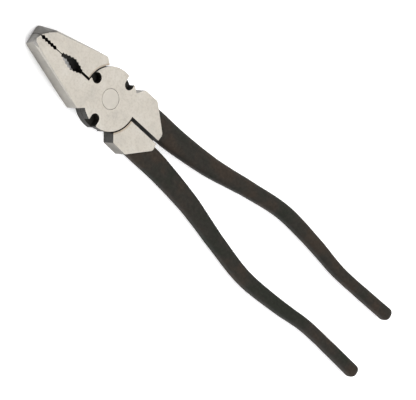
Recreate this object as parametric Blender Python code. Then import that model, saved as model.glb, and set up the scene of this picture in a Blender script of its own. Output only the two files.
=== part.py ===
"""Fencing and combination pliers, 270 mm long: two forgings lapped on one rivet, with dipped grips.

Frame: the pivot axis is Z and the back of the tool rests on Z = 0. X runs along the closed tool
towards the nose. The front half has its jaw at +Y and its handle at -Y. The rear half is the same
forging turned over about the long axis, so its jaw is at -Y and its handle at +Y.
"""
import math

import bmesh
import bpy
from mathutils import Matrix, Vector

MM = 0.001
PAST = 1 * MM                 # how far a cutting shape reaches past the face it cuts

# Driving dimensions
THICKNESS = 8.5 * MM
DISC_RADIUS = 16.4 * MM       # the round lap of each half
SEAT_GAP = 0.6 * MM           # round a disc, between it and its seat in the other half
FIT_GAP = 0.3 * MM            # between the laps, round the rivet and inside the grips
PARTING = 0.15 * MM           # half the gap left between the closed jaws
RIVET_HEAD_RADIUS = 5.0 * MM
RIVET_HEAD_DEPTH = 1.8 * MM
RIVET_SHANK_RADIUS = 3.6 * MM

# Jaw, given for the half whose jaw is at +Y
JAW_ROOT = 8.0 * MM           # where the jaw plate starts inside the disc
JAW_HEEL = (14.0 * MM, 16.0 * MM)
JAW_STEP = (10.0 * MM, 12.7 * MM)
JAW_TOE = (57.4 * MM, 5.15 * MM)
CUTTER_START = 16.4 * MM
CUTTER_END = 22.9 * MM
CUTTER_OPENING = 0.6 * MM     # half gap of the cutter at the outer faces
GRIP_PEAK = 29.7 * MM         # the widest place of the serrated pipe grip
GRIP_END = 37.6 * MM
GRIP_HEIGHT = 3.2 * MM        # half of its width there
GRIP_START_HEIGHT = 1.2 * MM
GRIP_END_HEIGHT = 1.1 * MM
GRIP_END_RUN = 0.3 * MM       # the slope back to the flat of the jaw
SERRATION_PITCH = 2.1 * MM
SERRATION_DEPTH = 0.55 * MM
TEETH_START = 42.4 * MM
TOOTH_PITCH = 2.15 * MM
TOOTH_COUNT = 5
TOOTH_HEIGHT = 0.74 * MM      # half width of the slot between the teeth, on average
TOOTH_SWING = 0.26 * MM

# Wire notches in the disc of the front half
THROAT_NOTCH = (13.2 * MM, -3.5 * MM)
THROAT_NOTCH_RADIUS = 2.8 * MM
THROAT_MOUTH_ANGLE = math.radians(40)   # half the angle over which the hole is open
THROAT_MOUTH_LENGTH = 4.5 * MM
UPPER_NOTCH = (1.8 * MM, 10.8 * MM)    # middle of the mouth, and the bottom
LOWER_NOTCH = (-5.1 * MM, -9.8 * MM)
UPPER_NOTCH_WIDTH = 5.3 * MM
LOWER_NOTCH_WIDTH = 5.2 * MM

# Shoulder and handle, given for a handle at +Y
HANDLE_GAP = 0.95 * MM        # half the slot between the shoulders
SHOULDER_STEP = (-12.0 * MM, 12.7 * MM)
SHOULDER_HEEL = (-14.8 * MM, 16.4 * MM)
MOUTH_OUTER = (-24.3 * MM, 16.6 * MM)
MOUTH_CORNER = (-37.2 * MM, 4.95 * MM)
MOUTH_INNER = (-36.8 * MM, HANDLE_GAP)
MOUTH_CORNER_RADIUS = 2.5 * MM
MOUTH_SHIFT = (-0.3 * MM, 0.12 * MM)    # from the forging's edge to the grip's edge
GRIP_WALL = 1.1 * MM
HANDLE_TIP = -213.5 * MM
TIP_DOME = 3.5 * MM           # length of the rounded end
TANG_START = -26.0 * MM       # inside the shoulder
SLEEVE_START = -23.0 * MM     # ahead of the mouth, which trims it
CAVITY_START = -21.0 * MM

# Stations down the handle: X, middle of its width, width, depth
HANDLE_STATIONS = (
    (-22.0 * MM, 8.15 * MM, 13.9 * MM, 8.3 * MM),
    (-38.0 * MM, 8.25 * MM, 13.7 * MM, 8.3 * MM),
    (-50.0 * MM, 8.75 * MM, 12.75 * MM, 8.3 * MM),
    (-75.0 * MM, 11.5 * MM, 10.7 * MM, 8.1 * MM),
    (-100.0 * MM, 16.55 * MM, 8.9 * MM, 7.8 * MM),
    (-125.0 * MM, 20.5 * MM, 8.45 * MM, 7.6 * MM),
    (-150.0 * MM, 19.45 * MM, 7.7 * MM, 7.4 * MM),
    (-172.0 * MM, 17.05 * MM, 6.9 * MM, 7.2 * MM),
    (-190.0 * MM, 17.15 * MM, 6.75 * MM, 7.1 * MM),
    (HANDLE_TIP, 17.85 * MM, 7.05 * MM, 7.1 * MM),
)
HANDLE_RINGS = 34
RING_SIDES = 16
SQUARENESS = 2.7              # superellipse exponent of the handle's section

# The nose and the jaws' outer edges are ground with the jaws closed. Each outline runs from the
# front half's jaw round the nose to the rear half's jaw, on one level from the back face upwards.
EDGE_DEPTH = 1.0 * MM         # how deep the ground edges reach into the thickness
NOSE_LEVELS = (
    (0.0, ((-5.0, 21.5), (49.1, 6.35), (52.7, 4.5), (53.7, 2.8), (53.7, -3.4), (53.0, -5.1),
           (50.0, -6.5), (-5.0, -21.5))),
    (EDGE_DEPTH, ((-5.0, 21.9), (54.5, 6.6), (54.5, -4.0), (53.9, -5.6), (51.0, -7.5),
                  (-5.0, -21.9))),
    (THICKNESS - EDGE_DEPTH, ((-5.0, 21.9), (56.1, 6.2), (56.1, 3.3), (54.5, -1.4),
                              (51.8, -4.3), (47.0, -8.0), (-5.0, -21.9))),
    (THICKNESS, ((-5.0, 21.5), (50.7, 5.9), (54.4, 4.3), (55.5, 2.8), (53.9, -0.9),
                 (51.0, -3.8), (46.9, -7.0), (-5.0, -21.5))),
)

GROUND_STEEL = ("ground_steel", (0.62, 0.59, 0.54, 1.0), 0.38, 1.0)
RIVET_STEEL = ("rivet_steel", (0.60, 0.58, 0.54, 1.0), 0.35, 1.0)
GRIP_VINYL = ("grip_vinyl", (0.035, 0.028, 0.024, 1.0), 0.62, 0.0)


def clear_scene():
    for item in list(bpy.data.objects):
        bpy.data.objects.remove(item, do_unlink=True)


def material(settings):
    name, colour, roughness, metallic = settings
    made = bpy.data.materials.new(name)
    made.use_nodes = True
    shader = made.node_tree.nodes["Principled BSDF"]
    shader.inputs["Base Color"].default_value = colour
    shader.inputs["Roughness"].default_value = roughness
    shader.inputs["Metallic"].default_value = metallic
    return made


def add_object(name, shape, settings=None):
    """Make an object from a bmesh, with its faces turned outward."""
    bmesh.ops.recalc_face_normals(shape, faces=shape.faces)
    mesh = bpy.data.meshes.new(name)
    shape.to_mesh(mesh)
    shape.free()
    made = bpy.data.objects.new(name, mesh)
    bpy.context.scene.collection.objects.link(made)
    if settings:
        mesh.materials.append(material(settings))
    return made


def prism(name, outline, bottom, top):
    """A straight prism over a flat outline."""
    shape = bmesh.new()
    corners = [shape.verts.new((x, y, bottom)) for x, y in outline]
    floor = shape.faces.new(corners)
    raised = bmesh.ops.extrude_face_region(shape, geom=[floor])["geom"]
    moved = [item for item in raised if isinstance(item, bmesh.types.BMVert)]
    bmesh.ops.translate(shape, vec=(0.0, 0.0, top - bottom), verts=moved)
    return add_object(name, shape)


def cylinder(name, centre, radius, bottom, top, sides=96):
    ring = []
    for step in range(sides):
        angle = math.tau * (step + 0.5) / sides
        ring.append((centre[0] + radius * math.cos(angle), centre[1] + radius * math.sin(angle)))
    return prism(name, ring, bottom, top)


def combine(base, tool, operation):
    """Apply a Boolean to the base and drop the tool."""
    modifier = base.modifiers.new(operation.lower(), "BOOLEAN")
    modifier.operation = operation
    modifier.solver = "EXACT"
    modifier.object = tool
    bpy.context.view_layer.update()
    graph = bpy.context.evaluated_depsgraph_get()
    result = bpy.data.meshes.new_from_object(base.evaluated_get(graph))
    base.modifiers.clear()
    base.data = result
    bpy.data.objects.remove(tool, do_unlink=True)


def arc_corner(before, corner, after, radius, steps):
    """Points that round one corner of an outline."""
    corner = Vector(corner)
    inward = (Vector(before) - corner).normalized()
    outward = (Vector(after) - corner).normalized()
    half = inward.angle(outward) / 2
    middle = corner + (inward + outward).normalized() * (radius / math.sin(half))
    start = corner + inward * (radius / math.tan(half)) - middle
    end = corner + outward * (radius / math.tan(half)) - middle
    points = []
    for step in range(steps + 1):
        spoke = start.lerp(end, step / steps).normalized() * radius
        points.append(tuple(middle + spoke))
    return points


def mirrored(outline, sign):
    return [(x, sign * y) for x, y in outline]


def pipe_grip_edge():
    """The serrated hollow between the cutter and the flat of the jaw."""
    points = []
    count = round((GRIP_END - CUTTER_END) / (SERRATION_PITCH / 2))
    for step in range(count + 1):
        x = CUTTER_END + (GRIP_END - CUTTER_END) * step / count
        if x < GRIP_PEAK:
            away = (GRIP_PEAK - x) / (GRIP_PEAK - CUTTER_END)
            height = GRIP_HEIGHT - (GRIP_HEIGHT - GRIP_START_HEIGHT) * away ** 1.3
        else:
            away = (x - GRIP_PEAK) / (GRIP_END - GRIP_PEAK)
            height = GRIP_HEIGHT - (GRIP_HEIGHT - GRIP_END_HEIGHT) * away ** 1.15
        points.append((x, height - SERRATION_DEPTH * (step % 2)))
    return points + [(GRIP_END + GRIP_END_RUN, PARTING)]


def teeth_edge():
    """The coarse rounded teeth near the nose."""
    points = [(TEETH_START, PARTING)]
    steps = 8
    for step in range(TOOTH_COUNT * steps + 1):
        x = TEETH_START + TOOTH_PITCH * step / steps
        wave = -math.cos(math.tau * step / steps)
        points.append((x, TOOTH_HEIGHT + TOOTH_SWING * wave))
    return points + [(TEETH_START + TOOTH_PITCH * TOOTH_COUNT, PARTING)]


def jaw_outline():
    points = [(JAW_ROOT, PARTING), (CUTTER_END, PARTING)]
    points += pipe_grip_edge()
    points += teeth_edge()
    points += [(JAW_TOE[0], PARTING), JAW_TOE, JAW_HEEL, JAW_STEP, (JAW_ROOT, JAW_ROOT)]
    return points


def mouth_line():
    """The slanting edge where the bare steel ends and the grip begins."""
    corner = arc_corner(MOUTH_INNER, MOUTH_CORNER, MOUTH_OUTER, MOUTH_CORNER_RADIUS, 5)
    return [MOUTH_INNER] + corner + [MOUTH_OUTER]


def shoulder_outline():
    inside = (-JAW_ROOT, HANDLE_GAP)
    back = (-JAW_ROOT, JAW_ROOT)
    return [inside] + mouth_line() + [SHOULDER_HEEL, SHOULDER_STEP, back]


def cutter_bevel():
    """The wedge of air that leaves a cutting edge at mid thickness."""
    shape = bmesh.new()
    middle = THICKNESS / 2
    reach = middle + PAST
    flare = PARTING + (CUTTER_OPENING - PARTING) * reach / middle
    section = ((-PAST, middle - reach), (flare, middle - reach), (PARTING, middle),
               (flare, middle + reach), (-PAST, middle + reach))
    corners = [shape.verts.new((CUTTER_START, y, z)) for y, z in section]
    face = shape.faces.new(corners)
    raised = bmesh.ops.extrude_face_region(shape, geom=[face])["geom"]
    moved = [item for item in raised if isinstance(item, bmesh.types.BMVert)]
    bmesh.ops.translate(shape, vec=(CUTTER_END - CUTTER_START, 0.0, 0.0), verts=moved)
    return add_object("cutter_bevel", shape)


def notch(name, place, width, sign):
    """A slot with a round bottom, open towards the rim at sign * Y."""
    x, bottom = place
    radius = width / 2
    outline = [(x + radius, sign * DISC_RADIUS * 1.2), (x - radius, sign * DISC_RADIUS * 1.2)]
    for step in range(13):
        angle = math.pi * step / 12
        rise = bottom + sign * (radius - radius * math.sin(angle))
        outline.append((x - radius * math.cos(angle), rise))
    return prism(name, outline, -PAST, THICKNESS + PAST)


def throat_notch():
    """A round wire hole that opens through the rim beside the cutter."""
    x, y = THROAT_NOTCH
    radius = THROAT_NOTCH_RADIUS
    turn = math.tau - 2 * THROAT_MOUTH_ANGLE
    outline = []
    for step in range(25):
        angle = THROAT_MOUTH_ANGLE + turn * step / 24
        outline.append((x + radius * math.cos(angle), y + radius * math.sin(angle)))
    outline.append((x + THROAT_MOUTH_LENGTH, outline[-1][1]))
    outline.append((x + THROAT_MOUTH_LENGTH, outline[0][1]))
    return prism("throat_notch", outline, -PAST, THICKNESS + PAST)


def station(x):
    """Middle, width and depth of the handle at x, smooth between the stations."""
    rows = HANDLE_STATIONS
    index = 0
    while index < len(rows) - 2 and x < rows[index + 1][0]:
        index += 1
    near, far = rows[index], rows[index + 1]
    before = rows[max(index - 1, 0)]
    after = rows[min(index + 2, len(rows) - 1)]
    span = far[0] - near[0]
    t = (x - near[0]) / span
    values = []
    for column in (1, 2, 3):
        slope_near = (far[column] - before[column]) / (far[0] - before[0]) * span
        slope_far = (after[column] - near[column]) / (after[0] - near[0]) * span
        values.append((2 * t ** 3 - 3 * t ** 2 + 1) * near[column]
                      + (t ** 3 - 2 * t ** 2 + t) * slope_near
                      + (3 * t ** 2 - 2 * t ** 3) * far[column]
                      + (t ** 3 - t ** 2) * slope_far)
    return values


def handle_rings(start, tip, inset):
    """Sections square to the handle's middle line, ending in a rounded tip."""
    dome = TIP_DOME - inset
    places = []
    for step in range(HANDLE_RINGS):
        places.append((start + (tip + dome - start) * step / HANDLE_RINGS, 1.0))
    for step in range(6):
        angle = math.radians(15 * step)
        places.append((tip + dome - dome * math.sin(angle), math.cos(angle)))
    result = []
    for x, scale in places:
        middle, width, depth = station(x)
        ahead = station(x - 1 * MM)[0]
        along = Vector((-1 * MM, ahead - middle)).normalized()
        across = Vector((-along.y, along.x))
        half_width = (width / 2 - inset) * scale
        half_depth = (depth / 2 - inset) * scale
        ring = []
        for side in range(RING_SIDES):
            angle = math.tau * side / RING_SIDES
            cosine, sine = math.cos(angle), math.sin(angle)
            u = math.copysign(abs(cosine) ** (2 / SQUARENESS), cosine) * half_width
            v = math.copysign(abs(sine) ** (2 / SQUARENESS), sine) * half_depth
            ring.append((x + across.x * u, middle + across.y * u, THICKNESS / 2 + v))
        result.append(ring)
    return result


def handle_loft(name, start, tip, inset):
    shape = bmesh.new()
    loops = []
    for ring in handle_rings(start, tip, inset):
        loops.append([shape.verts.new((x, -y, z)) for x, y, z in ring])
    for near, far in zip(loops, loops[1:]):
        for side in range(RING_SIDES):
            beyond = (side + 1) % RING_SIDES
            shape.faces.new((near[side], near[beyond], far[beyond], far[side]))
    shape.faces.new(loops[0])
    shape.faces.new(loops[-1])
    return add_object(name, shape)


def raw_forging():
    """The forging of the front half, before its nose is ground."""
    low, high = -PAST, THICKNESS + PAST
    split = THICKNESS / 2 + FIT_GAP / 2
    forging = prism("front_half", jaw_outline(), 0.0, THICKNESS)
    combine(forging, cutter_bevel(), "DIFFERENCE")
    combine(forging, cylinder("disc", (0, 0), DISC_RADIUS, 0.0, THICKNESS), "UNION")
    shoulder = prism("shoulder", mirrored(shoulder_outline(), -1), 0.0, THICKNESS)
    combine(forging, shoulder, "UNION")
    seat = cylinder("lap_seat", (0, 0), DISC_RADIUS + SEAT_GAP, low, split)
    combine(forging, seat, "DIFFERENCE")
    combine(forging, throat_notch(), "DIFFERENCE")
    combine(forging, notch("upper_notch", UPPER_NOTCH, UPPER_NOTCH_WIDTH, 1), "DIFFERENCE")
    combine(forging, notch("lower_notch", LOWER_NOTCH, LOWER_NOTCH_WIDTH, -1), "DIFFERENCE")
    shank = cylinder("shank_hole", (0, 0), RIVET_SHANK_RADIUS + FIT_GAP, low, high, 32)
    combine(forging, shank, "DIFFERENCE")
    floor = THICKNESS - RIVET_HEAD_DEPTH - FIT_GAP
    head = cylinder("head_hole", (0, 0), RIVET_HEAD_RADIUS + FIT_GAP, floor, high, 48)
    combine(forging, head, "DIFFERENCE")
    inset = GRIP_WALL + FIT_GAP
    tang = handle_loft("tang", TANG_START, HANDLE_TIP + inset, inset)
    combine(forging, tang, "UNION")
    return forging


def nose_envelope():
    """The space that the ground nose keeps within."""
    shape = bmesh.new()
    for z, outline in NOSE_LEVELS:
        for x, y in outline:
            shape.verts.new((x * MM, y * MM, z))
    bmesh.ops.convex_hull(shape, input=shape.verts)
    return add_object("nose_envelope", shape)


def handle_side():
    """Everything behind the disc, which the grinding of the nose leaves alone."""
    back = HANDLE_TIP - PAST
    side = 2 * DISC_RADIUS
    outline = ((back, -side), (0.0, -side), (0.0, side), (back, side))
    return prism("handle_side", outline, -PAST, THICKNESS + PAST)


def grind_nose(half):
    keep = nose_envelope()
    combine(keep, handle_side(), "UNION")
    combine(half, keep, "INTERSECT")


def turned_over(source, name):
    """The same piece turned over about the tool's long axis."""
    mesh = source.data.copy()
    mesh.transform(Matrix.Translation((0, 0, THICKNESS)) @ Matrix.Rotation(math.pi, 4, "X"))
    made = bpy.data.objects.new(name, mesh)
    bpy.context.scene.collection.objects.link(made)
    return made


def grip():
    """A dipped sleeve, closed at the tip and open at its slanting mouth."""
    sleeve = handle_loft("front_grip", SLEEVE_START, HANDLE_TIP, 0.0)
    cavity = handle_loft("cavity", CAVITY_START, HANDLE_TIP + GRIP_WALL, GRIP_WALL)
    combine(sleeve, cavity, "DIFFERENCE")
    edge = [(x + MOUTH_SHIFT[0], y + MOUTH_SHIFT[1]) for x, y in mouth_line()]
    slope = (edge[-1][1] - edge[-2][1]) / (edge[-1][0] - edge[-2][0])
    far_x = 0.0
    outline = [(edge[0][0], -PAST)] + edge
    outline += [(far_x, edge[-1][1] + slope * (far_x - edge[-1][0])), (far_x, -PAST)]
    mouth = prism("mouth", mirrored(outline, -1), -PAST, THICKNESS + PAST)
    combine(sleeve, mouth, "DIFFERENCE")
    return sleeve


def rivet():
    """Two flush heads joined by a thinner shank, turned about the pivot axis."""
    profile = ((0.0, 0.0), (RIVET_HEAD_RADIUS, 0.0), (RIVET_HEAD_RADIUS, RIVET_HEAD_DEPTH),
               (RIVET_SHANK_RADIUS, RIVET_HEAD_DEPTH),
               (RIVET_SHANK_RADIUS, THICKNESS - RIVET_HEAD_DEPTH),
               (RIVET_HEAD_RADIUS, THICKNESS - RIVET_HEAD_DEPTH),
               (RIVET_HEAD_RADIUS, THICKNESS), (0.0, THICKNESS))
    shape = bmesh.new()
    corners = [shape.verts.new((radius, 0.0, z)) for radius, z in profile]
    edges = [shape.edges.new(pair) for pair in zip(corners, corners[1:])]
    bmesh.ops.spin(shape, geom=corners + edges, cent=(0, 0, 0), axis=(0, 0, 1),
                   angle=math.tau, steps=48, use_duplicate=False)
    bmesh.ops.remove_doubles(shape, verts=shape.verts, dist=0.00001)
    return add_object("pivot_rivet", shape)


def finish(piece, settings):
    piece.data.materials.clear()
    piece.data.materials.append(material(settings))
    piece.data.shade_smooth()
    piece.data.set_sharp_from_angle(angle=math.radians(32))


def main():
    clear_scene()
    front = raw_forging()
    rear = turned_over(front, "rear_half")
    grind_nose(front)
    grind_nose(rear)
    front_sleeve = grip()
    rear_sleeve = turned_over(front_sleeve, "rear_grip")
    for half in (front, rear):
        finish(half, GROUND_STEEL)
    for sleeve in (front_sleeve, rear_sleeve):
        finish(sleeve, GRIP_VINYL)
    finish(rivet(), RIVET_STEEL)


main()
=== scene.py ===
"""Looks of the fencing pliers: ground and black forged steel, and dipped vinyl grips.

Lengths are in metres, in the CAD frame: X towards the nose, Z through the thickness, pivot on Z.
"""
import math

import bmesh
import bpy
from mathutils import Matrix, Vector, noise


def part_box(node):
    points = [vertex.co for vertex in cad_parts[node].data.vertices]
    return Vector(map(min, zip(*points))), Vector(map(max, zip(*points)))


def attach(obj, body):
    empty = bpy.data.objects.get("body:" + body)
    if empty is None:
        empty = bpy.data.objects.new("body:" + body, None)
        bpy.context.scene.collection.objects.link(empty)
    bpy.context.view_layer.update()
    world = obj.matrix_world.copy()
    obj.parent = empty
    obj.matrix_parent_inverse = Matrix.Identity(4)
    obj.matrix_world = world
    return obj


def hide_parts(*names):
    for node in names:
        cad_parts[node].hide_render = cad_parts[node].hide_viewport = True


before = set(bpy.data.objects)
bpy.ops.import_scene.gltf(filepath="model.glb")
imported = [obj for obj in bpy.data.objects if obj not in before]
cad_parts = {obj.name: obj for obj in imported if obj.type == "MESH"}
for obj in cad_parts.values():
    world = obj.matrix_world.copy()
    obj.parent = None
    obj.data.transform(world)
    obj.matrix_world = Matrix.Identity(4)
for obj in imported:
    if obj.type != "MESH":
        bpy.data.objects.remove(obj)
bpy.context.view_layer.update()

MM = 0.001
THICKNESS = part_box("front_half")[1].z
NOSE_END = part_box("front_half")[1].x
HANDLE_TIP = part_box("front_grip")[0].x
RIVET_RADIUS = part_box("pivot_rivet")[1].x
JAW_HEEL_X = 14.0 * MM        # the jaws' outer sides lie ahead of this
SHOULDER_HEEL_X = -14.8 * MM  # and the shoulders' outer sides lie behind this
SEAM_RADIUS = 16.7 * MM       # middle of the gap between a disc and its seat

# The grips, for a handle at +Y. Each station gives X, the middle, width and depth, in millimetres.
MOUTH_CORNER = Vector((-37.25, 4.95)) * MM
MOUTH_OUTER = Vector((-24.35, 16.6)) * MM
MOUTH_ROUNDING = 1.43 * MM    # of the corner between the mouth's two straight parts
GRIP_WALL = 1.1 * MM
HANDLE_STATIONS = [
    (-22.0, 8.15, 13.9, 8.3), (-38.0, 8.25, 13.7, 8.3), (-50.0, 8.75, 12.75, 8.3),
    (-75.0, 11.5, 10.7, 8.1), (-100.0, 16.55, 8.9, 7.8), (-125.0, 20.5, 8.45, 7.6),
    (-150.0, 19.45, 7.7, 7.4), (-172.0, 17.05, 6.9, 7.2), (-190.0, 17.15, 6.75, 7.1),
    (HANDLE_TIP / MM, 17.85, 7.05, 7.1),
]

# ---------------------------------------------------------------- camera and light
CAMERA_RIGHT = Vector((-0.63213, -0.48986, 0.60038))
CAMERA_UP = Vector((0.58556, -0.80944, -0.04390))
CAMERA_AIM = Vector((-63.66, 14.76, 34.47)) * MM
CAMERA_DISTANCE = 5.0         # far away, for a long-lens view
FRAME_WIDTH = 208 * MM        # what the picture's width spans at the aim
SENSOR = 36.0
CLIP_START = 0.1
CLIP_END = 50.0


def aim_matrix(right, up):
    """World rotation of an object that looks along its own -Z."""
    right = right.normalized()
    back = right.cross(up).normalized()
    up = back.cross(right)
    return Matrix((right, up, back)).transposed().to_4x4()


def add_camera():
    data = bpy.data.cameras.new("camera")
    data.sensor_width = SENSOR
    data.lens = SENSOR * CAMERA_DISTANCE / FRAME_WIDTH
    data.clip_start = CLIP_START
    data.clip_end = CLIP_END
    camera = bpy.data.objects.new("camera", data)
    bpy.context.scene.collection.objects.link(camera)
    turn = aim_matrix(CAMERA_RIGHT, CAMERA_UP)
    back = turn.to_3x3() @ Vector((0, 0, 1))
    camera.matrix_world = Matrix.Translation(CAMERA_AIM + back * CAMERA_DISTANCE) @ turn
    bpy.context.scene.camera = camera


PORT_DIRECTION = Vector((0.507, 0.324, 0.798))    # the opening that the lens looks in through
PORT_STRENGTH = 0.15          # share of the tent's light that is left inside the port
PORT_EDGE = (0.85, 0.95)      # cosines of the angle from its middle over which it fades
WALL_STRENGTH = 0.9
ROOF_STRENGTH = 0.66
WALL_TOP = (0.45, 0.75)       # heights over which the walls fade into the roof
SOFTBOX_STRENGTH = 2.5
SOFTBOX_EDGE = (0.9, 0.96)
SOFTBOX_DIRECTIONS = (Vector((-0.15, 0.38, 0.913)), Vector((0.15, -0.38, 0.913)))


def feed(tree, socket, value):
    """Give a socket a plain value, or link another node's output to it."""
    if isinstance(value, bpy.types.NodeSocket):
        tree.links.new(value, socket)
    else:
        socket.default_value = value


def add_world():
    """A white light tent: bright low walls, a dimmer roof, and the dark opening for the lens."""
    world = bpy.data.worlds.new("tent")
    world.use_nodes = True
    tree = world.node_tree
    background = tree.nodes["Background"]
    direction = tree.nodes.new("ShaderNodeTexCoord").outputs["Generated"]

    def math_node(kind, first, second):
        node = tree.nodes.new("ShaderNodeVectorMath" if kind == "DOT_PRODUCT" else "ShaderNodeMath")
        node.operation = kind
        for socket, value in zip(node.inputs, (first, second)):
            feed(tree, socket, value)
        return node.outputs["Value"]

    def fade(value, edge, low, high):
        node = tree.nodes.new("ShaderNodeMapRange")
        node.interpolation_type = "SMOOTHSTEP"
        tree.links.new(value, node.inputs["Value"])
        for name, number in zip(("From Min", "From Max", "To Min", "To Max"),
                                (*edge, low, high)):
            node.inputs[name].default_value = number
        return node.outputs["Result"]

    height = math_node("DOT_PRODUCT", direction, Vector((0, 0, 1)))
    towards_port = math_node("DOT_PRODUCT", direction, PORT_DIRECTION)
    walls = fade(height, WALL_TOP, WALL_STRENGTH, ROOF_STRENGTH)
    port = fade(towards_port, PORT_EDGE, 1.0, PORT_STRENGTH)
    light = math_node("MULTIPLY", walls, port)
    for towards in SOFTBOX_DIRECTIONS:
        facing = math_node("DOT_PRODUCT", direction, towards)
        light = math_node("ADD", light, fade(facing, SOFTBOX_EDGE, 0.0, SOFTBOX_STRENGTH))
    tree.links.new(light, background.inputs["Strength"])
    background.inputs["Color"].default_value = (1.0, 1.0, 1.0, 1.0)
    bpy.context.scene.world = world
    bpy.context.scene.view_settings.view_transform = "Standard"


# ---------------------------------------------------------------- materials
MIX_COLOUR_INPUTS = (0, 6, 7)  # the Mix node's factor and two colours, when it mixes colours
MIX_COLOUR_OUTPUT = 2


class Nodes:
    """A small helper that lays out one material's nodes."""

    def __init__(self, name):
        self.material = bpy.data.materials.new(name)
        self.material.use_nodes = True
        self.tree = self.material.node_tree
        self.shader = self.tree.nodes["Principled BSDF"]
        self.place = self.add("ShaderNodeTexCoord").outputs["Object"]

    def add(self, kind, **inputs):
        """A node with its inputs set by name, with _ for a space."""
        node = self.tree.nodes.new(kind)
        for key, value in inputs.items():
            feed(self.tree, node.inputs[key.replace("_", " ")], value)
        return node

    def stretched(self, scale):
        """The place, scaled per axis: a small scale draws noise out into lines along its axis."""
        mapping = self.add("ShaderNodeMapping", Vector=self.place)
        mapping.inputs["Scale"].default_value = scale
        return mapping.outputs["Vector"]

    def noise(self, size, detail=3.0, roughness=0.5, vector=None):
        """Noise whose features are about this size in metres."""
        node = self.add("ShaderNodeTexNoise", Scale=1.0 / size, Detail=detail,
                        Roughness=roughness, Vector=vector or self.place)
        return node.outputs["Fac"]

    def ramp(self, factor, stops):
        """Colour stops, each a position from 0 to 1 and a colour."""
        node = self.add("ShaderNodeValToRGB", Fac=factor)
        ramp = node.color_ramp
        ramp.elements[0].position, ramp.elements[0].color = stops[0]
        ramp.elements[1].position, ramp.elements[1].color = stops[-1]
        for position, colour in stops[1:-1]:
            ramp.elements.new(position).color = colour
        return node.outputs["Color"]

    def mix(self, factor, first, second, blend="MIX"):
        node = self.tree.nodes.new("ShaderNodeMix")
        node.data_type = "RGBA"
        node.blend_type = blend
        for index, value in zip(MIX_COLOUR_INPUTS, (factor, first, second)):
            feed(self.tree, node.inputs[index], value)
        return node.outputs[MIX_COLOUR_OUTPUT]

    def span(self, factor, low, high):
        """A factor from 0 to 1, brought between two values."""
        node = self.add("ShaderNodeMapRange", Value=factor)
        node.inputs["To Min"].default_value = low
        node.inputs["To Max"].default_value = high
        return node.outputs["Result"]

    def along(self, axis, start, end, low, high):
        """A value that changes smoothly from one place to another along X, Y or Z."""
        split = self.add("ShaderNodeSeparateXYZ", Vector=self.place)
        node = self.add("ShaderNodeMapRange", Value=split.outputs[axis], From_Min=start,
                        From_Max=end, To_Min=low, To_Max=high)
        node.interpolation_type = "SMOOTHSTEP"
        return node.outputs["Result"]

    def math(self, kind, first, second):
        node = self.tree.nodes.new("ShaderNodeMath")
        node.operation = kind
        for socket, value in zip(node.inputs, (first, second)):
            feed(self.tree, socket, value)
        return node.outputs["Value"]

    def lapped_quarters(self):
        """One in the quarters where the outer faces show the seam of the lap, else zero."""
        split = self.add("ShaderNodeSeparateXYZ", Vector=self.place)
        height = self.math("SUBTRACT", split.outputs["Z"], THICKNESS / 2)
        corner = self.math("MULTIPLY", split.outputs["X"], split.outputs["Y"])
        return self.math("LESS_THAN", self.math("MULTIPLY", corner, height), 0.0)

    def distance(self, centre, scale):
        """Distance from a place, measured in units of 1 / scale along each axis."""
        mapping = self.add("ShaderNodeMapping", Vector=self.place)
        mapping.inputs["Scale"].default_value = scale
        mapping.inputs["Location"].default_value = [-c * k for c, k in zip(centre, scale)]
        length = self.tree.nodes.new("ShaderNodeVectorMath")
        length.operation = "LENGTH"
        self.tree.links.new(mapping.outputs["Vector"], length.inputs[0])
        return length.outputs["Value"]

    def bump(self, height, depth, normal=None):
        """Bump of this depth in metres, laid over an earlier one."""
        node = self.add("ShaderNodeBump", Height=height, Distance=depth, Strength=1.0)
        if normal:
            self.tree.links.new(normal, node.inputs["Normal"])
        return node.outputs["Normal"]

    def link(self, output, name):
        self.tree.links.new(output, self.shader.inputs[name])


GRIME = (0.75, 0.68, 0.60, 1.0)
BLUE_LOSS = 1.6               # how much blue a warm grey loses for the red that it gains
ALONG_X = (0.06, 1.0, 1.0)    # stretches noise into the fine grinding lines of the faces
GRINDING = 0.006 * MM         # depth of those lines
SHADOW_FILL_MIDDLE = (22 * MM, 0.0, 0.0)       # middle of the painted glow: the floor's emission fills in the tool's floor shadows, but is kept low under its head
SHADOW_FILL_REACH = (48 * MM, 20 * MM)         # half axes of the ellipse outside which the painted glow is full


def grey(value, warmth=0.0):
    """A grey of this brightness, warmer by this share."""
    return (value * (1 + warmth), value, value * (1 - BLUE_LOSS * warmth), 1.0)


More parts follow.
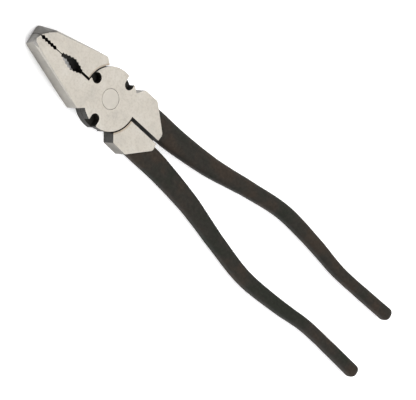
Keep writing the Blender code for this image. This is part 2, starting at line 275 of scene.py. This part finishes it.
def ground_face():
    """Bright ground flats: warm grey, with fine grinding lines and grime along the lap's seam."""
    nodes = Nodes("ground_face")
    clouds = nodes.noise(9 * MM, 4.0, 0.55)
    specks = nodes.noise(1.1 * MM, 5.0, 0.6)
    colour = nodes.ramp(clouds, ((0.3, grey(0.52, 0.065)), (0.5, grey(0.565, 0.07)),
                                 (0.7, grey(0.60, 0.06))))
    fine = nodes.ramp(specks, ((0.32, grey(0.80, 0.02)), (0.52, grey(1.0)), (0.75, grey(1.04))))
    colour = nodes.mix(0.55, colour, fine, "MULTIPLY")
    half_way = 0.5 / SEAM_RADIUS      # a ramp ends at 1, so the seam is put at 0.5
    from_pivot = nodes.distance((0.0, 0.0, 0.0), (half_way, half_way, 0.0))
    grime = nodes.ramp(from_pivot, ((0.483, grey(1.0)), (0.5, GRIME), (0.522, GRIME),
                                    (0.545, grey(1.0))))
    soiled = nodes.mix(1.0, colour, grime, "MULTIPLY")
    nodes.link(nodes.mix(nodes.lapped_quarters(), colour, soiled), "Base Color")
    lines = nodes.noise(0.28 * MM, 3.0, 0.6, nodes.stretched(ALONG_X))
    nodes.link(nodes.span(nodes.noise(3 * MM, 4.0, 0.6), 0.42, 0.56), "Roughness")
    coarse = nodes.bump(nodes.noise(2.5 * MM, 3.0), 0.03 * MM)
    nodes.link(nodes.bump(lines, GRINDING, coarse), "Normal")
    nodes.shader.inputs["Metallic"].default_value = 1.0
    return nodes.material


def rivet_face():
    """The rivet's heads, ground with the faces and a little more even."""
    nodes = Nodes("rivet_face")
    clouds = nodes.noise(4 * MM, 4.0, 0.6)
    colour = nodes.ramp(clouds, ((0.3, grey(0.53, 0.065)), (0.7, grey(0.585, 0.065))))
    nodes.link(colour, "Base Color")
    nodes.link(nodes.span(nodes.noise(2 * MM, 4.0, 0.6), 0.42, 0.56), "Roughness")
    lines = nodes.noise(0.28 * MM, 3.0, 0.6, nodes.stretched(ALONG_X))
    nodes.link(nodes.bump(lines, GRINDING, nodes.bump(clouds, 0.03 * MM)), "Normal")
    nodes.shader.inputs["Metallic"].default_value = 1.0
    return nodes.material


def ground_side_shaded():
    """Ground flats of the jaws' outer sides, a little rougher than the faces and coloured darker
    than them as painted shade on these upright sides, darker still on the shoulders.
    """
    nodes = Nodes("ground_side_shaded")
    clouds = nodes.noise(6 * MM, 4.0, 0.6)
    # painted shade: these upright sides are coloured darker than the faces' ground steel
    bright = nodes.ramp(clouds, ((0.3, grey(0.275, 0.045)), (0.7, grey(0.345, 0.055))))
    shoulder_shaded = nodes.ramp(clouds, ((0.3, grey(0.155, 0.05)), (0.7, grey(0.225, 0.06))))
    forward = nodes.along("X", SHOULDER_HEEL_X, JAW_HEEL_X, 0.0, 1.0)
    nodes.link(nodes.mix(forward, shoulder_shaded, bright), "Base Color")
    lines = nodes.noise(0.3 * MM, 3.0, 0.6, nodes.stretched((1.0, 1.0, 0.08)))
    nodes.link(nodes.span(nodes.noise(2 * MM, 4.0, 0.6), 0.42, 0.6), "Roughness")
    nodes.link(nodes.bump(lines, 0.01 * MM), "Normal")
    nodes.shader.inputs["Metallic"].default_value = 1.0
    return nodes.material


def ground_edge_shaded():
    """The slanting edges ground along the jaws, coloured in tone between the faces and the sides as
    painted shade on these slanting strips.
    """
    nodes = Nodes("ground_edge_shaded")
    clouds = nodes.noise(5 * MM, 4.0, 0.6)
    # painted shade: the slanting strips are coloured between the faces' and the sides' tones
    colour = nodes.ramp(clouds, ((0.3, grey(0.33, 0.05)), (0.7, grey(0.40, 0.06))))
    nodes.link(colour, "Base Color")
    lines = nodes.noise(0.3 * MM, 3.0, 0.6, nodes.stretched((0.1, 1.0, 1.0)))
    nodes.link(nodes.span(nodes.noise(2 * MM, 4.0, 0.6), 0.42, 0.58), "Roughness")
    nodes.link(nodes.bump(lines, 0.01 * MM), "Normal")
    nodes.shader.inputs["Metallic"].default_value = 1.0
    return nodes.material


def forge_scale():
    """Black oxide left by the forging on rims and steps."""
    nodes = Nodes("forge_scale")
    clouds = nodes.noise(4 * MM, 5.0, 0.65)
    colour = nodes.ramp(clouds, ((0.3, grey(0.035, 0.04)), (0.6, grey(0.06, 0.04)),
                                 (0.8, grey(0.095, 0.08))))
    nodes.link(colour, "Base Color")
    nodes.link(nodes.span(nodes.noise(1.5 * MM, 4.0, 0.6), 0.45, 0.75), "Roughness")
    rough = nodes.bump(nodes.noise(1.2 * MM, 5.0, 0.6), 0.08 * MM)
    nodes.link(nodes.bump(nodes.noise(0.3 * MM, 3.0, 0.6), 0.02 * MM, rough), "Normal")
    nodes.shader.inputs["Metallic"].default_value = 0.6
    return nodes.material


def cut_scale_shaded():
    """Oxide inside the notches, the teeth and the pipe grip, coloured far darker than the rims'
    oxide as painted shade in these recesses.
    """
    nodes = Nodes("cut_scale_shaded")
    clouds = nodes.noise(2 * MM, 5.0, 0.65)
    # painted shade: near-black oxide, much darker than forge_scale, deepens these recesses
    colour = nodes.ramp(clouds, ((0.3, grey(0.007, 0.14)), (0.7, grey(0.018, 0.14))))
    nodes.link(colour, "Base Color")
    nodes.link(nodes.span(nodes.noise(1.5 * MM, 4.0, 0.6), 0.4, 0.65), "Roughness")
    nodes.link(nodes.bump(nodes.noise(0.5 * MM, 4.0, 0.6), 0.03 * MM), "Normal")
    nodes.shader.inputs["Metallic"].default_value = 0.5
    return nodes.material


def nose_steel_shaded():
    """The coarsely ground end of the nose, coloured dark as painted shade, darker still towards the
    rear half's jaw.
    """
    nodes = Nodes("nose_steel_shaded")
    clouds = nodes.noise(3 * MM, 4.0, 0.6)
    # painted shade: the nose's end faces are coloured far darker than the ground faces
    light = nodes.ramp(clouds, ((0.3, grey(0.19, 0.03)), (0.7, grey(0.26, 0.03))))
    dark = nodes.ramp(clouds, ((0.3, grey(0.09, 0.04)), (0.7, grey(0.135, 0.05))))
    across = nodes.along("Y", -2 * MM, 6 * MM, 0.0, 1.0)
    nodes.link(nodes.mix(across, dark, light), "Base Color")
    nodes.link(nodes.span(nodes.noise(1.5 * MM, 4.0, 0.6), 0.4, 0.6), "Roughness")
    lines = nodes.noise(0.35 * MM, 3.0, 0.6, nodes.stretched((1.0, 0.1, 1.0)))
    nodes.link(nodes.bump(lines, 0.015 * MM), "Normal")
    nodes.shader.inputs["Metallic"].default_value = 1.0
    return nodes.material


def dipped_vinyl():
    """Matte brown-black vinyl, mottled, with a fine dimpled skin."""
    nodes = Nodes("dipped_vinyl")
    patches = nodes.noise(17 * MM, 4.0, 0.55)
    colour = nodes.ramp(patches, ((0.38, (0.014, 0.0155, 0.0105, 1.0)),
                                  (0.5, (0.021, 0.0185, 0.0145, 1.0)),
                                  (0.62, (0.030, 0.0215, 0.0150, 1.0))))
    fine = nodes.ramp(nodes.noise(1.6 * MM, 4.0, 0.6), ((0.3, grey(0.72)), (0.7, grey(1.25))))
    nodes.link(nodes.mix(0.9, colour, fine, "MULTIPLY"), "Base Color")
    nodes.link(nodes.span(nodes.noise(2.2 * MM, 4.0, 0.6), 0.55, 0.78), "Roughness")
    nodes.shader.inputs["Specular IOR Level"].default_value = 0.17
    broad = nodes.bump(nodes.noise(5 * MM, 3.0), 0.12 * MM)
    nodes.link(nodes.bump(nodes.noise(0.7 * MM, 3.0, 0.6), 0.03 * MM, broad), "Normal")
    return nodes.material


def floor_white():
    """White acrylic whose emission is a painted glow round the tool, filling in its floor shadows,
    and kept low under the head.
    """
    nodes = Nodes("floor_white")
    nodes.link(nodes.span(nodes.noise(0.4), 0.86, 0.88), "Roughness")
    nodes.shader.inputs["Base Color"].default_value = (0.9, 0.9, 0.9, 1.0)
    # painted glow: emission low under the head and full further out, which fills in the tool's
    # floor shadows
    away = nodes.distance(SHADOW_FILL_MIDDLE, (1 / SHADOW_FILL_REACH[0], 1 / SHADOW_FILL_REACH[1], 0.0))
    shadow_fill_glow = nodes.ramp(away, ((0.6, grey(0.04)), (1.0, grey(0.5))))
    nodes.link(shadow_fill_glow, "Emission Color")
    nodes.shader.inputs["Emission Strength"].default_value = 1.0
    return nodes.material


# ---------------------------------------------------------------- steel
FACE, SIDE, EDGE, SCALE, SHADED_CUT, NOSE = range(6)
STEELS = [ground_face(), ground_side_shaded(), ground_edge_shaded(), forge_scale(), cut_scale_shaded(), nose_steel_shaded()]
SHARP = math.radians(25)      # edges sharper than this are rounded
SMOOTH = math.radians(30)     # edges that are left under this are shaded smooth
WELD = 0.002 * MM             # corners closer than this are one
LEVEL = math.radians(0.6)     # faces closer in angle than this are one
SLIVER = 0.17 * MM            # edges shorter than this are closed up
FLAT = 0.02 * MM
RIM_RADIUS = 0.25 * MM        # the rounding of every edge of the two outer faces
CORNER_RADIUS = 0.45 * MM     # the rounding of the outline's own corners
EDGE_ZONE = 1.2 * MM          # how far the ground edges reach into the thickness
NOSE_ZONE = 11 * MM           # the nose's end faces start this far behind its end
NOSE_RIM_ZONE = 4 * MM        # and their slanting rims this far
PARTING_ZONE = 2 * MM         # no ground edge is this close to the middle line
WORKING_ZONE = 4.5 * MM       # cutters, pipe grip and teeth are this close to it
CUT_RADIUS = 16.2 * MM        # the disc's own holes and slots lie inside this
CORNER_START = 12 * MM        # the outline's corners lie outside this
STEP_BACK, STEP_FRONT, STEP_Y = -15 * MM, -10 * MM, -12 * MM     # the shoulder's step
SHOULDER_SIDE_Y = 16 * MM


def steel_of(face):
    """Which steel material a face of a forging gets, from where it lies and how it faces: upright,
    slanting, nose and recessed faces get colours darkened as painted shade.

    The plain numbers are cosines of the angle between the face's normal and an axis.
    """
    centre = face.calc_center_median()
    normal = face.normal
    outer = min(centre.z, THICKNESS - centre.z) < EDGE_ZONE
    off_middle = abs(centre.y)
    if abs(normal.z) > 0.985 and outer:
        return FACE
    if centre.x > NOSE_END - NOSE_ZONE and normal.x > 0.35:
        return NOSE
    if centre.x > NOSE_END - NOSE_RIM_ZONE and abs(normal.z) > 0.2:
        return NOSE
    if abs(normal.z) > 0.35 and outer and centre.x > JAW_HEEL_X and off_middle > PARTING_ZONE:
        return EDGE
    if abs(normal.z) > 0.6 and outer:
        return FACE
    outward = normal.y * centre.y > 0 and abs(normal.y) > 0.7
    if outward and centre.x > JAW_HEEL_X and off_middle > WORKING_ZONE:
        return SIDE
    if outward and centre.x < SHOULDER_HEEL_X and off_middle > SHOULDER_SIDE_Y:
        return SIDE
    if STEP_BACK < centre.x < STEP_FRONT and normal.x > 0.6 and centre.y < STEP_Y:
        return SIDE
    # holes, slots and working parts get the oxide that carries painted shade
    if centre.xy.length < CUT_RADIUS or (centre.x > 0 and off_middle < WORKING_ZONE):
        return SHADED_CUT
    return SCALE


def on_rim(edge):
    """Whether an edge lies in one of the two outer faces."""
    levels = [vert.co.z for vert in edge.verts]
    return max(levels) < FLAT or min(levels) > THICKNESS - FLAT


def on_outline(edge):
    """Whether an edge is an outer corner that runs through the whole thickness."""
    first, second = (vert.co for vert in edge.verts)
    middle = (first + second) / 2
    upright = abs(first.z - second.z) > 0.8 * (first - second).length
    return upright and abs(middle.y) > WORKING_ZONE and middle.xy.length > CORNER_START


def round_edges(shape, wanted, radius):
    """Round the sharp edges that a test picks."""
    picked = []
    for edge in shape.edges:
        if len(edge.link_faces) == 2 and edge.calc_face_angle(0) > SHARP and wanted(edge):
            picked.append(edge)
    bmesh.ops.bevel(shape, geom=picked, offset=radius, offset_type="OFFSET", segments=2,
                    profile=0.5, affect="EDGES", clamp_overlap=False)


def new_piece(name, mesh, body, node):
    """Link a piece that stands for a CAD node, with large flat faces shaded flat."""
    mesh.shade_smooth()
    mesh.set_sharp_from_angle(angle=SMOOTH)
    piece = bpy.data.objects.new(name, mesh)
    bpy.context.scene.collection.objects.link(piece)
    weighted = piece.modifiers.new("weighted_normals", "WEIGHTED_NORMAL")
    weighted.keep_sharp = True
    weighted.weight = 100     # the largest faces alone set the shading
    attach(piece, body)
    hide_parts(node)
    return piece


def steel_half(node, body):
    """A finely rounded copy of a forging, with the finish of each face."""
    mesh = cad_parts[node].data.copy()
    mesh.name = node + "_steel"
    shape = bmesh.new()
    shape.from_mesh(mesh)
    bmesh.ops.remove_doubles(shape, verts=shape.verts, dist=WELD)
    bmesh.ops.dissolve_limit(shape, angle_limit=LEVEL, verts=shape.verts, edges=shape.edges,
                             delimit=set())
    bmesh.ops.dissolve_degenerate(shape, dist=SLIVER, edges=shape.edges)
    round_edges(shape, on_outline, CORNER_RADIUS)
    round_edges(shape, on_rim, RIM_RADIUS)
    shape.normal_update()
    for face in shape.faces:
        face.material_index = steel_of(face)
    mesh.materials.clear()
    for steel in STEELS:
        mesh.materials.append(steel)
    shape.to_mesh(mesh)
    shape.free()
    return new_piece(node + "_steel", mesh, body, node)


RIVET_SPREAD = 0.22 * MM      # how far each head is peened out towards its seat
RIVET_HEAD_DEPTH = 1.8 * MM
RIVET_SHANK_RADIUS = 3.6 * MM
RIVET_STEPS = 128
RING_DEPTH = 0.1 * MM         # the fine groove round each head


def rivet_piece():
    """The flush rivet, peened into its seats so that only a fine ring shows round each head."""
    seat = RIVET_RADIUS + RIVET_SPREAD
    head = RIVET_HEAD_DEPTH
    half = [(0.0, 0.0), (RIVET_RADIUS - 0.12 * MM, 0.0), (RIVET_RADIUS - 0.03 * MM, 0.03 * MM),
            (RIVET_RADIUS, 0.08 * MM), (seat - 0.04 * MM, RING_DEPTH), (seat, 0.3 * MM),
            (seat, head - 0.1 * MM), (seat - 0.1 * MM, head), (RIVET_SHANK_RADIUS, head)]
    profile = half + [(radius, THICKNESS - depth) for radius, depth in reversed(half)]
    shape = bmesh.new()
    corners = [shape.verts.new((radius, 0.0, z)) for radius, z in profile]
    edges = [shape.edges.new(pair) for pair in zip(corners, corners[1:])]
    bmesh.ops.spin(shape, geom=corners + edges, cent=(0, 0, 0), axis=(0, 0, 1),
                   angle=math.tau, steps=RIVET_STEPS, use_duplicate=False)
    bmesh.ops.remove_doubles(shape, verts=shape.verts, dist=WELD)
    bmesh.ops.recalc_face_normals(shape, faces=shape.faces)
    mesh = bpy.data.meshes.new("rivet_steel")
    shape.to_mesh(mesh)
    shape.free()
    mesh.materials.append(rivet_face())
    return new_piece("rivet_steel", mesh, "front", "pivot_rivet")


# ---------------------------------------------------------------- grips
RING_SIDES = 40
SQUARENESS = 2.9              # superellipse exponent of the handle's section
SKIN = 0.05 * MM              # how far the smooth surface keeps inside the CAD's outline
LIP_RADIUS = 0.5 * MM
DOME = 3.5 * MM               # length of the rounded end
MEETING = -50.0 * MM          # where the slanted rings of the mouth have become square
MOUTH_RINGS = 12              # from the mouth to that place
SKIN_RINGS = 150              # from there to the rounded end, outside
CAVITY_RINGS = 40             # and inside
DOME_RINGS = 9
LIP_RINGS = 5
SEARCH_FROM, SEARCH_TO = -60 * MM, -20 * MM      # X between which the mouth's edge is found
SEARCH_STEPS = 40
UNEVENNESS = 0.16 * MM
BROAD_WAVE = 9 * MM
FINE_WAVE = 3.5 * MM


def station(x):
    """Middle, width and depth of the handle at x, smooth between the stations."""
    rows = HANDLE_STATIONS
    x = x / MM
    index = 0
    while index < len(rows) - 2 and x < rows[index + 1][0]:
        index += 1
    near, far = rows[index], rows[index + 1]
    before = rows[max(index - 1, 0)]
    after = rows[min(index + 2, len(rows) - 1)]
    span = far[0] - near[0]
    t = (x - near[0]) / span
    values = []
    for column in (1, 2, 3):
        slope_near = (far[column] - before[column]) / (far[0] - before[0]) * span
        slope_far = (after[column] - near[column]) / (after[0] - near[0]) * span
        values.append(((2 * t ** 3 - 3 * t ** 2 + 1) * near[column]
                       + (t ** 3 - 2 * t ** 2 + t) * slope_near
                       + (3 * t ** 2 - 2 * t ** 3) * far[column]
                       + (t ** 3 - t ** 2) * slope_far) * MM)
    return values


def handle_point(x, side, inset, scale=1.0):
    """The point of the handle's skin at x, on one of its lengthwise lines."""
    middle, width, depth = station(x)
    ahead = station(x - 1 * MM)[0]
    along = Vector((-1 * MM, ahead - middle)).normalized()
    angle = math.tau * side / RING_SIDES
    cosine, sine = math.cos(angle), math.sin(angle)
    u = math.copysign(abs(cosine) ** (2 / SQUARENESS), cosine) * (width / 2 - inset) * scale
    v = math.copysign(abs(sine) ** (2 / SQUARENESS), sine) * (depth / 2 - inset) * scale
    return Vector((x - along.y * u, middle + along.x * u, THICKNESS / 2 + v))


def mouth_x(y):
    """X of the mouth's edge: square across the inner side, then slanting, rounded between."""
    slope = (MOUTH_OUTER.x - MOUTH_CORNER.x) / (MOUTH_OUTER.y - MOUTH_CORNER.y)
    beyond = y - MOUTH_CORNER.y
    blend = (beyond + math.sqrt(beyond ** 2 + MOUTH_ROUNDING ** 2)) / 2
    return MOUTH_CORNER.x + slope * blend


def mouth_start(side, inset):
    """X at which a lengthwise line of the skin meets the mouth's edge."""
    low, high = SEARCH_FROM, SEARCH_TO
    for _ in range(SEARCH_STEPS):
        middle = (low + high) / 2
        point = handle_point(middle, side, inset)
        if point.x > mouth_x(point.y):
            high = middle
        else:
            low = middle
    return low


def skin_ring(distance, inset):
    """A ring this far behind the mouth's edge, which turns square towards MEETING."""
    ring = []
    for side in range(RING_SIDES):
        start = mouth_start(side, inset)
        share = distance / (MOUTH_CORNER.x - MEETING)
        ring.append(handle_point(start + (MEETING - start) * share, side, inset))
    return ring


def square_ring(x, inset, scale=1.0):
    """A ring square to the handle's middle line."""
    return [handle_point(x, side, inset, scale) for side in range(RING_SIDES)]


def sleeve_rings(inset, tip, first, count):
    """Rings from the mouth back to the closed tip."""
    length = MOUTH_CORNER.x - MEETING
    rings = []
    for step in range(MOUTH_RINGS):
        rings.append(skin_ring(first + (length - first) * step / MOUTH_RINGS, inset))
    dome = DOME - inset
    for step in range(count):
        rings.append(square_ring(MEETING + (tip + dome - MEETING) * step / count, inset))
    for step in range(DOME_RINGS):
        angle = math.radians(90 * step / DOME_RINGS)
        rings.append(square_ring(tip + dome - dome * math.sin(angle), inset, math.cos(angle)))
    return rings


def lip_rings(inset):
    """The rounded lip, from the flat of the mouth to the outer skin."""
    rings = []
    for step in range(LIP_RINGS):
        angle = math.radians(90 * step / (LIP_RINGS - 1))
        behind = LIP_RADIUS * (1 - math.sin(angle))
        rings.append(skin_ring(behind, inset + LIP_RADIUS * (1 - math.cos(angle))))
    return list(reversed(rings))


def unevenness(point):
    """How far the dip's slightly uneven skin lies inside its outline."""
    wave = noise.noise(point / BROAD_WAVE) + 0.5 * noise.noise(point / FINE_WAVE)
    return UNEVENNESS * min(max(0.5 + 0.5 * wave, 0.0), 1.0)


def bridge(shape, near, far):
    """A band of faces between two rings."""
    for side in range(RING_SIDES):
        beyond = (side + 1) % RING_SIDES
        shape.faces.new((near[side], near[beyond], far[beyond], far[side]))


def grip_piece(node, body, turned, vinyl):
    """A dipped sleeve with a rounded lip, closed at the tip and hollow for the tang."""
    outer = lip_rings(SKIN) + sleeve_rings(SKIN, HANDLE_TIP + SKIN, LIP_RADIUS, SKIN_RINGS)[1:]
    inner = sleeve_rings(GRIP_WALL, HANDLE_TIP + GRIP_WALL, 0.0, CAVITY_RINGS)
    shape = bmesh.new()
    loops = []
    for ring in list(reversed(inner)) + outer:
        loops.append([shape.verts.new((point.x, -point.y, point.z)) for point in ring])
    for near, far in zip(loops, loops[1:]):
        bridge(shape, near, far)
    shape.faces.new(loops[0])
    shape.faces.new(loops[-1])
    bmesh.ops.recalc_face_normals(shape, faces=shape.faces)
    shape.normal_update()
    for loop in loops[len(inner) + LIP_RINGS:]:
        for vert in loop:
            vert.co -= vert.normal * unevenness(vert.co)
    mesh = bpy.data.meshes.new(node + "_vinyl")
    shape.to_mesh(mesh)
    shape.free()
    if turned:
        mesh.transform(Matrix.Translation((0, 0, THICKNESS)) @ Matrix.Rotation(math.pi, 4, "X"))
    mesh.materials.append(vinyl)
    return new_piece(node + "_vinyl", mesh, body, node)


# ---------------------------------------------------------------- floor and sizes
FLOOR_RADIUS = 3.0
FLOOR_SIDES = 96


def add_floor():
    shape = bmesh.new()
    bmesh.ops.create_circle(shape, cap_ends=True, segments=FLOOR_SIDES, radius=FLOOR_RADIUS)
    mesh = bpy.data.meshes.new("floor")
    shape.to_mesh(mesh)
    shape.free()
    floor = bpy.data.objects.new("floor", mesh)
    bpy.context.scene.collection.objects.link(floor)
    mesh.materials.append(floor_white())


add_camera()
add_world()
add_floor()
steel_half("front_half", "front")
steel_half("rear_half", "rear")
rivet_piece()
VINYL = dipped_vinyl()
grip_piece("front_grip", "front", False, VINYL)
grip_piece("rear_grip", "rear", True, VINYL)
